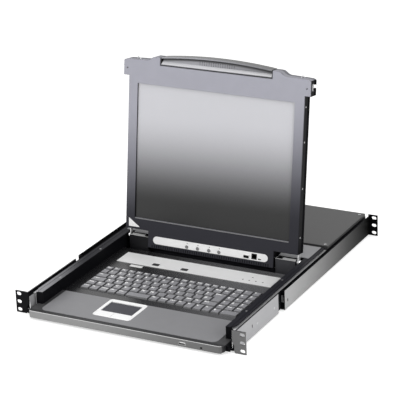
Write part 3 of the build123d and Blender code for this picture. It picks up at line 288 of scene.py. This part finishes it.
def shade_handle(rim_radius, rim_rise, shade, rim_low, rim_high):
    """The sunk face of the handle gets a painted shadow towards the rim, which is an arc about a centre far
    below.

    shade is how far from the rim the dark begins and where it is full, and the rim rises from rim_low to
    rim_high above the face, all in millimetres.
    """
    tree = handle_grey.node_tree
    base = tree.nodes["Principled BSDF"].inputs["Base Color"]
    plain = base.links[0].from_socket
    place = tree.nodes.new("ShaderNodeTexCoord")
    reach = tree.nodes.new("ShaderNodeVectorMath")
    reach.operation = "DISTANCE"
    reach.inputs[1].default_value = on_screen(0.0, rim_rise - rim_radius, GRIP_LEVEL)
    tree.links.new(place.outputs["Object"], reach.inputs[0])
    near_rim = tree.nodes.new("ShaderNodeMapRange")
    near_rim.interpolation_type = "SMOOTHSTEP"
    near_rim.inputs["From Min"].default_value = (rim_radius - shade[0]) * MM
    near_rim.inputs["From Max"].default_value = (rim_radius - shade[1]) * MM
    tree.links.new(reach.outputs["Value"], near_rim.inputs["Value"])
    level = AXIS.dot(OUT) + GRIP_LEVEL * MM
    sunk = along(tree, place.outputs["Object"], OUT, level + rim_high * MM, level + rim_low * MM)
    both = tree.nodes.new("ShaderNodeMath")
    both.operation = "MULTIPLY"
    tree.links.new(near_rim.outputs["Result"], both.inputs[0])
    tree.links.new(sunk, both.inputs[1])
    tree.links.new(blended(tree, plain, tone(28, 0.15), both.outputs["Value"]), base)


shade_handle(1015.0, 374.3, (7.5, 3.0), 3.6, 4.6)

FINISHES = {
    "chassis_tray": black_coat, "front_ear_left": ear_left_coat, "front_ear_right": ear_right_coat,
    "slide_outer_left": zinc, "slide_outer_right": zinc, "slide_middle_left": zinc,
    "slide_middle_right": zinc, "slide_inner_left": slide_coat, "slide_inner_right": slide_coat,
    "ball_cages_outer": bright, "ball_cages_inner": bright, "guide_channels": zinc,
    "rear_bracket_left": bracket_left_coat, "rear_bracket_right": bracket_right_coat,
    "rear_cover": cover_grey, "rear_panel": dark_plastic, "power_inlet": black_plastic,
    "main_board": board_green, "rear_sockets": zinc, "power_supply": zinc, "drawer_tray": drawer_coat,
    "rear_deck_plate": plate_grey, "hinge_housings": housing_plastic, "hinge_pins": bright,
    "front_lip": lip_plastic,
    "palm_rest": palm_plastic, "touchpad_surround": pad_white, "touchpad": pad_dark,
    "touchpad_button_left": pad_white, "touchpad_button_right": pad_white, "deck_frame": deck_plastic,
    "key_base": black_plastic, "function_keys": key_plastic, "typing_keys": key_plastic,
    "space_bar": key_plastic, "enter_key": key_plastic, "arrow_keys": key_plastic,
    "keypad_keys": key_plastic, "port_panel": panel_silver, "port_button_left": dark_plastic,
    "port_button_right": dark_plastic, "console_board": board_green, "usb_socket": bright,
    "reset_button": black_plastic, "lcd_front_frame": screen_shell, "lcd_back_cover": shell_black,
    "lcd_panel": display_film, "lcd_board": board_green, "pull_handle": handle_grey,
    "catch_left": zinc, "catch_right": zinc, "hinge_arms": zinc, "control_strip": strip_white,
    "control_button_menu": button_grey, "control_button_up": button_grey,
    "control_button_down": button_grey, "control_button_select": button_grey,
    "control_sockets": black_plastic,
}
for node, material in FINISHES.items():
    mesh = nodes[node].data
    mesh.materials.clear()
    mesh.materials.append(material)


def piece(name, build, material, body):
    """A mesh object that build(mesh) draws, with its material and slot, riding on a body."""
    mesh = bmesh.new()
    build(mesh)
    data = bpy.data.meshes.new(name)
    mesh.to_mesh(data)
    mesh.free()
    data.materials.append(material)
    made = bpy.data.objects.new(name, data)
    bpy.context.scene.collection.objects.link(made)
    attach(made, body)


# The least Z of a key top's normal, and the step in millimetres that tells rows apart
FLAT = 0.9
ROW_STEP = 8.0


def key_boxes(node):
    """The top rectangle of every key in a node, as (low x, high x, low y, high y, top z), by rows."""
    mesh = bmesh.new()
    mesh.from_mesh(nodes[node].data)
    bmesh.ops.remove_doubles(mesh, verts=mesh.verts, dist=0.01 * MM)
    top = max(v.co.z for v in mesh.verts)
    seen = set()
    boxes = []
    for face in mesh.faces:
        if face in seen or face.normal.z < FLAT or min(v.co.z for v in face.verts) < top - 0.1 * MM:
            continue
        group = [face]
        seen.add(face)
        for member in group:
            for edge in member.edges:
                for other in edge.link_faces:
                    if other not in seen and other.normal.z > FLAT:
                        seen.add(other)
                        group.append(other)
        xs = [v.co.x for member in group for v in member.verts]
        ys = [v.co.y for member in group for v in member.verts]
        boxes.append((min(xs), max(xs), min(ys), max(ys), top))
    mesh.free()
    return sorted(boxes, key=lambda box: (-round(box[2] / (ROW_STEP * MM)), box[0]))


LEGENDS = {
    "function_keys": ["Esc", "F1", "F2", "F3", "F4", "F5", "F6", "F7", "F8", "F9", "F10", "F11", "F12",
                      "Prt", "Scr", "Brk", "Num"],
    "typing_keys": list("`1234567890-=") + ["Back", "Ins", "Tab"] + list("QWERTYUIOP[]")
    + ["Caps"] + list("ASDFGHJKL;'#") + ["Shift"] + list("ZXCVBNM,./") + ["Shift", "Up", "End"]
    + ["Ctrl", "Fn", "Menu", "Alt", "Del", "Alt", "Menu", "Ctrl", "Fn"],
    "enter_key": ["Enter"],
    "arrow_keys": ["<", "v", ">"],
    "keypad_keys": ["Num"] + list("/*789456123") + ["Ins", "Del", "End", "0", "."],
}
KEY_BODIES = {
    "function_keys": "function_block", "typing_keys": "typing_block", "enter_key": "enter_block",
    "arrow_keys": "arrow_block", "keypad_keys": "keypad_block",
}
# Sizes of the letters and of their place on a key, in millimetres. BOLD and CAP_HEIGHT are shares of a size.
LETTER_SIZE = 8.6
WORD_SIZE = 6.0
BOLD = 0.035
INSET_X, INSET_Y = 1.0, 0.8
CAP_HEIGHT = 0.72
LIFT = 0.05


def draw_legends(words, boxes):
    """A builder of small raised letters, a word near the upper left corner of each key."""
    def build(mesh):
        for word, (left, right, front, rear, top) in zip(words, boxes):
            size = LETTER_SIZE if len(word) == 1 else WORD_SIZE
            curve = bpy.data.curves.new("word", "FONT")
            curve.body = word
            curve.size = size * MM
            curve.offset = BOLD * size * MM
            curve.resolution_u = 1
            holder = bpy.data.objects.new("word", curve)
            letters = bpy.data.meshes.new_from_object(holder)
            start = len(mesh.verts)
            mesh.from_mesh(letters)
            mesh.verts.ensure_lookup_table()
            move = Vector((left + INSET_X * MM, rear - (size * CAP_HEIGHT + INSET_Y) * MM, top + LIFT * MM))
            for vertex in mesh.verts[start:]:
                vertex.co += move
            bpy.data.objects.remove(holder)
            bpy.data.curves.remove(curve)
            bpy.data.meshes.remove(letters)
    return build


for node, words in LEGENDS.items():
    piece(node + "_legends", draw_legends(words, key_boxes(node)), legend_white, KEY_BODIES[node])


# The share of its radius that a disc keeps at its top, and the share by which a plate's top is smaller
DISC_TOP = 0.7
PLATE_SLOPE = 0.04


def add_disc(mesh, centre, normal, radius, height, sides):
    """A low round head with a narrower top, standing on a surface."""
    turn = TOP.rotation_difference(normal).to_matrix().to_4x4()
    made = bmesh.ops.create_cone(mesh, cap_ends=True, segments=sides, radius1=radius * MM,
                                 radius2=DISC_TOP * radius * MM, depth=height * MM)
    middle = Vector(centre) + Vector(normal) * (height / 2 * MM)
    bmesh.ops.transform(mesh, matrix=Matrix.Translation(middle) @ turn, verts=made["verts"])


def add_plate(mesh, corners, normal, height):
    """A thin plate with the given corners, raised from its surface, with sloping edges."""
    lift = Vector(normal) * (height * MM)
    middle = sum(corners, Vector()) / len(corners)
    low = [mesh.verts.new(corner) for corner in corners]
    high = [mesh.verts.new(corner + lift + (middle - corner) * PLATE_SLOPE) for corner in corners]
    mesh.faces.new(high)
    for index in range(len(corners)):
        after = (index + 1) % len(corners)
        mesh.faces.new((low[index], low[after], high[after], high[index]))


def screw_heads(places, normal, radius, height):
    """A builder of low screw heads with a slot cut across each.

    A head is two plates, and slot is the angle in degrees at which each starts.
    """
    slot, steps = 14.0, 8
    across = Vector(normal).orthogonal().normalized()
    along_slot = Vector(normal).cross(across)

    def build(mesh):
        for place in places:
            for side in (-1, 1):
                outline = [radians(slot + (180.0 - 2 * slot) * step / steps) for step in range(steps + 1)]
                rim = [place + (along_slot * cos(turn) + across * side * sin(turn)) * (radius * MM)
                       for turn in outline]
                add_plate(mesh, rim if side > 0 else rim[::-1], normal, height)
    return build


# Screws, and how far in millimetres they or their walls stand from the middle. The wall of the side screws is
# SIDE_STEP inside the frame's ends.
COVER_SCREWS, RAIL_SCREWS, BAR_SCREWS = 203.0, 197.0, 192.6
SIDE_STEP = 11.9
EAR_WALL = 218.0
cover_low, cover_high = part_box("rear_cover")
cover_places = [Vector((x * MM, y, cover_high.z)) for x in (-COVER_SCREWS, 0.0, COVER_SCREWS)
                for y in (cover_low.y + 7 * MM, cover_high.y - 9 * MM)]
piece("cover_screws", screw_heads(cover_places, TOP, 2.6, 0.5), bright, "chassis")
rail_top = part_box("drawer_tray")[1].z
rail_places = [Vector((side * RAIL_SCREWS * MM, y * MM, rail_top)) for side in (-1, 1) for y in (88.0, 240.0)]
piece("rail_screws", screw_heads(rail_places, TOP, 1.7, 0.5), bright, "drawer")
bar_places = [on_screen(side * BAR_SCREWS, 342.0, SCREEN_FRONT) for side in (-1, 1)]
piece("bar_screws", screw_heads(bar_places, OUT, 1.6, 0.4), dark_plastic, "screen")
for side, name in ((-1, "left"), (1, "right")):
    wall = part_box("lcd_front_frame")[1].x - SIDE_STEP * MM
    side_places = [Vector((side * wall, 0.0, 0.0)) + on_screen(0.0, u, 9.0)
                   for u in (52.0, 148.0, 238.0, 306.0)]
    piece("side_screws_" + name, screw_heads(side_places, Vector((side, 0, 0)), 1.7, 0.4), zinc, "screen")
    ear_places = [Vector((side * EAR_WALL, y, -2.0)) * MM for y in (25.0, 89.0, 160.0)]
    piece("ear_screws_" + name, screw_heads(ear_places, Vector((side, 0, 0)), 2.4, 0.5), zinc, "chassis")


# Grip of the pull handle
def grip_dots(mesh):
    """Rows of small raised dots in the middle of the handle's sunk face."""
    rows, columns = 4, 16
    pitch_x, pitch_u, lowest = 4.9, 2.5, 362.6
    for row in range(rows):
        for column in range(columns):
            x = (column - (columns - 1) / 2) * pitch_x
            add_disc(mesh, on_screen(x, lowest + row * pitch_u, GRIP_LEVEL), OUT, 0.75, 0.5, 8)


piece("grip_dots", grip_dots, dark_plastic, "screen")


def handle_gap_shadow(mesh):
    """A black strip in the gap round the handle's ends and foot, a painted shadow that darkens the gap."""
    inside, outside = 118.3, 120.1
    low, high, top = 353.2, 355.0, 368.6
    level = 13.6
    for left, right, foot, head in ((-outside, outside, low, high), (-outside, -inside, high, top),
                                    (inside, outside, high, top)):
        ends = ((left, foot), (right, foot), (right, head), (left, head))
        add_plate(mesh, [on_screen(x, u, level) for x, u in ends], OUT, 0.3)


def display_edge_highlight(mesh):
    """A fine pale line along the lower edge of the display's opening, a painted highlight where that edge
    catches the light.
    """
    ends = ((-168.0, 41.0), (168.0, 41.0), (168.0, 42.0), (-168.0, 42.0))
    add_plate(mesh, [on_screen(x, u, SCREEN_FRONT) for x, u in ends], OUT, 0.1)


def wire(mesh, points, radius):
    """A thin round wire through the points, closed at its ends."""
    sides = 6
    turns = [radians(360.0 * step / sides) for step in range(sides)]
    rings = []
    for index, point in enumerate(points):
        ahead = (points[min(index + 1, len(points) - 1)] - points[max(index - 1, 0)]).normalized()
        across = ahead.orthogonal().normalized()
        over = ahead.cross(across)
        rings.append([mesh.verts.new(point + (across * cos(turn) + over * sin(turn)) * (radius * MM))
                      for turn in turns])
    for ring, after in zip(rings, rings[1:]):
        for step in range(sides):
            mesh.faces.new((ring[step], ring[step + 1 - sides], after[step + 1 - sides], after[step]))
    mesh.faces.new(rings[0][::-1])
    mesh.faces.new(rings[-1])


def bar_hooks(mesh):
    """A small wire hook on top of each end of the bar."""
    rise = [(-4.0, 359.4), (-3.4, 362.6), (-1.8, 364.8), (0.6, 365.4), (2.8, 364.2), (3.6, 362.0)]
    for side, middle in ((-1, -172.0), (1, 180.0)):
        wire(mesh, [on_screen(middle + side * x, u, 8.0) for x, u in rise], 0.7)


# A dark strip as painted shadow in the handle's gap
piece("handle_gap_shadow", handle_gap_shadow, black_plastic, "screen")
# A pale line as a painted highlight along the display's lower edge
piece("display_edge_highlight", display_edge_highlight, highlight_grey, "screen")
piece("bar_hooks", bar_hooks, bright, "screen")


# Marks and lamps
MARK_HEIGHT = 0.15


def marks(places, half_x, half_v, point, normal):
    """A builder of small rectangular marks at places on a surface, where point(x, v) is in its plane."""
    def build(mesh):
        for x, v in places:
            corners = [point(x + i * half_x, v + j * half_v) for i, j in CORNERS]
            add_plate(mesh, corners, normal, MARK_HEIGHT)
    return build


def flat(level):
    """The function from x and y in millimetres to the point there at a level in metres."""
    return lambda x, y: Vector((x * MM, y * MM, level))


def on_strip(x, u):
    """The point at x and u millimetres on the control strip."""
    return on_screen(x, u, STRIP_FRONT)


panel_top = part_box("port_panel")[1].z
panel_places = [(x, 262.5) for x in (102.9, 116.5, 130.5, 145.0)] + [(117.0, 277.0)]
piece("panel_lamps", marks(panel_places, 1.3, 1.3, flat(panel_top), TOP), dark_plastic, "drawer")
deck_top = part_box("deck_frame")[1].z
piece("deck_label", marks([(-118.0, 240.5)], 13.5, 4.5, flat(deck_top), TOP), panel_silver, "drawer")
strip_places = [(x + 1.0, 6.4) for x in (-50.4, -26.4, -1.4, 20.5)]
piece("strip_lamps", marks(strip_places, 1.0, 0.8, on_strip, OUT), mark_grey, "screen")
piece("strip_switch", marks([(108.5, -1.5)], 3.2, 1.2, on_strip, OUT), black_plastic, "screen")


def corner_sticker(mesh):
    """A blank triangular label in the frame's lower left corner."""
    corners = [on_screen(-182.1, 41.0, SCREEN_FRONT), on_screen(-181.8, 23.2, SCREEN_FRONT),
               on_screen(-157.0, 23.6, SCREEN_FRONT)]
    add_plate(mesh, corners, OUT, 0.12)


piece("corner_sticker", corner_sticker, pad_white, "screen")


def socket_rim(mesh):
    """A thin pale rim round the service port in the control strip."""
    half_x, half_u, wall, height = 6.9, 3.9, 1.1, 0.4
    middle_x, middle_u = 80.0, -0.3
    foot = STRIP_FRONT + 0.1
    outer, inner, outer_top, inner_top = [
        [mesh.verts.new(on_screen(middle_x + i * (half_x - inset), middle_u + j * (half_u - inset), level))
         for i, j in CORNERS]
        for level in (foot, foot + height) for inset in (0.0, wall)
    ]
    for first, second in ((inner, outer), (outer, outer_top), (outer_top, inner_top), (inner_top, inner)):
        for index in range(4):
            after = (index + 1) % 4
            mesh.faces.new((first[index], first[after], second[after], second[index]))


piece("socket_rim", socket_rim, pad_white, "screen")


def foot_ribs(mesh):
    """Fine upright ribs along the foot of the screen, below the control strip."""
    count, pitch, half_width = 52, 5.0, 0.8
    low, high = -13.6, -7.4
    for step in range(count):
        x = -128.0 + step * pitch
        ends = ((x - half_width, low), (x + half_width, low), (x + half_width, high), (x - half_width, high))
        add_plate(mesh, [on_screen(end, u, SCREEN_FRONT) for end, u in ends], OUT, 0.2)


piece("foot_ribs", foot_ribs, shell_black, "screen")


# Stage
FLOOR_GREY = 0.85
NEAR_GLOW, FAR_GLOW = 0.55, 1.0
NEAR_REACH, FAR_REACH = 1.0, 3.0
FLOOR_SIZE = 16.0
FLOOR_GAP = 0.5 * MM
SKY_STRENGTH = 0.35
WHITE_STRENGTH = 1.0


def white_rays(tree):
    """1 for rays from the camera, a reflection or glass, which see all white, and 0 for the others."""
    path = tree.nodes.new("ShaderNodeLightPath")
    either = path.outputs["Is Camera Ray"]
    for name in ("Is Glossy Ray", "Is Transmission Ray"):
        highest = tree.nodes.new("ShaderNodeMath")
        highest.operation = "MAXIMUM"
        tree.links.new(either, highest.inputs[0])
        tree.links.new(path.outputs[name], highest.inputs[1])
        either = highest.outputs["Value"]
    return either


def floor_material():
    """A pale matt floor that keeps shadows, and is white for the camera and in reflections.

    Its glow is weaker near the object, where the lamps light the floor, than far away.
    """
    material = bpy.data.materials.new("floor_white")
    material.use_nodes = True
    tree = material.node_tree
    shader = tree.nodes["Principled BSDF"]
    shader.inputs["Base Color"].default_value = (FLOOR_GREY, FLOOR_GREY, FLOOR_GREY, 1.0)
    shader.inputs["Roughness"].default_value = 1.0
    shader.inputs["Specular IOR Level"].default_value = 0.0
    glow = tree.nodes.new("ShaderNodeEmission")
    place = tree.nodes.new("ShaderNodeTexCoord")
    reach = tree.nodes.new("ShaderNodeVectorMath")
    reach.operation = "LENGTH"
    tree.links.new(place.outputs["Object"], reach.inputs[0])
    rising = tree.nodes.new("ShaderNodeMapRange")
    for name, value in (("From Min", NEAR_REACH), ("From Max", FAR_REACH), ("To Min", NEAR_GLOW),
                        ("To Max", FAR_GLOW)):
        rising.inputs[name].default_value = value
    tree.links.new(reach.outputs["Value"], rising.inputs["Value"])
    share = tree.nodes.new("ShaderNodeMath")
    share.operation = "MULTIPLY"
    tree.links.new(white_rays(tree), share.inputs[0])
    tree.links.new(rising.outputs["Result"], share.inputs[1])
    tree.links.new(share.outputs["Value"], glow.inputs["Strength"])
    add = tree.nodes.new("ShaderNodeAddShader")
    tree.links.new(shader.outputs["BSDF"], add.inputs[0])
    tree.links.new(glow.outputs["Emission"], add.inputs[1])
    tree.links.new(add.outputs["Shader"], tree.nodes["Material Output"].inputs["Surface"])
    return material


def lay_floor(size, level):
    """A square floor of a size, at a level, both in metres."""
    mesh = bmesh.new()
    bmesh.ops.create_grid(mesh, x_segments=1, y_segments=1, size=size / 2)
    data = bpy.data.meshes.new("floor")
    mesh.to_mesh(data)
    mesh.free()
    data.materials.append(floor_material())
    plane = bpy.data.objects.new("floor", data)
    plane.location = (0.0, 0.3, level)
    bpy.context.scene.collection.objects.link(plane)
    plane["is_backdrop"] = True


lay_floor(FLOOR_SIZE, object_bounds()[0][2] - FLOOR_GAP)


def area_light(name, place, target, size, power):
    """A soft rectangular light at a place, aimed at a target."""
    light = bpy.data.lights.new(name, "AREA")
    light.shape = "RECTANGLE"
    light.size, light.size_y = size
    light.energy = power
    lamp = bpy.data.objects.new(name, light)
    lamp.location = place
    lamp.rotation_euler = (Vector(target) - Vector(place)).to_track_quat("-Z", "Y").to_euler()
    lamp.visible_camera = False
    bpy.context.scene.collection.objects.link(lamp)


area_light("overhead", (0.1, 0.3, 1.8), (0.0, 0.25, 0.0), (1.8, 1.8), 15.0)
area_light("front_left", (-1.1, -1.4, 1.0), (0.0, 0.2, 0.1), (1.2, 1.0), 17.0)
area_light("right", (1.6, -0.2, 0.8), (0.1, 0.2, 0.0), (1.2, 1.0), 11.0)

world = bpy.data.worlds.new("studio")
bpy.context.scene.world = world
world.use_nodes = True
world_tree = world.node_tree
sky = world_tree.nodes["Background"]
sky.inputs["Color"].default_value = (1.0, 1.0, 1.0, 1.0)
sky.inputs["Strength"].default_value = SKY_STRENGTH
white_sky = world_tree.nodes.new("ShaderNodeBackground")
white_sky.inputs["Color"].default_value = (1.0, 1.0, 1.0, 1.0)
white_sky.inputs["Strength"].default_value = WHITE_STRENGTH
choose = world_tree.nodes.new("ShaderNodeMixShader")
world_tree.links.new(white_rays(world_tree), choose.inputs[0])
world_tree.links.new(sky.outputs["Background"], choose.inputs[1])
world_tree.links.new(white_sky.outputs["Background"], choose.inputs[2])
world_tree.links.new(choose.outputs["Shader"], world_tree.nodes["World Output"].inputs["Surface"])

# Camera, at the place from which the photograph was taken
AZIMUTH = radians(28.219)
ELEVATION = radians(21.025)
ROLL = radians(-2.177)
TARGET = Vector((0.0, 340.0 * MM, 0.0))
DISTANCE = 3696.5 * MM
SHIFT_RIGHT = -25.954 * MM
SHIFT_UP = 106.92 * MM
FOCAL_PIXELS = 1880.3
PICTURE_PIXELS = 400.0
SENSOR = 36.0
CLIP_END = 50.0

level_right = Vector((cos(AZIMUTH), sin(AZIMUTH), 0.0))
back = Vector((sin(AZIMUTH) * cos(ELEVATION), -cos(AZIMUTH) * cos(ELEVATION), sin(ELEVATION)))
level_up = back.cross(level_right)
right = level_right * cos(ROLL) + level_up * sin(ROLL)
up = level_up * cos(ROLL) - level_right * sin(ROLL)
lens = bpy.data.cameras.new("camera")
lens.sensor_width = SENSOR
lens.lens = FOCAL_PIXELS * SENSOR / PICTURE_PIXELS
lens.clip_end = CLIP_END
camera = bpy.data.objects.new("camera", lens)
turn = Matrix((right, up, back)).transposed().to_4x4()
place = TARGET + right * SHIFT_RIGHT + up * SHIFT_UP + back * DISTANCE
camera.matrix_world = Matrix.Translation(place) @ turn
bpy.context.scene.collection.objects.link(camera)
bpy.context.scene.camera = camera

bpy.context.scene.view_settings.view_transform = "Standard"
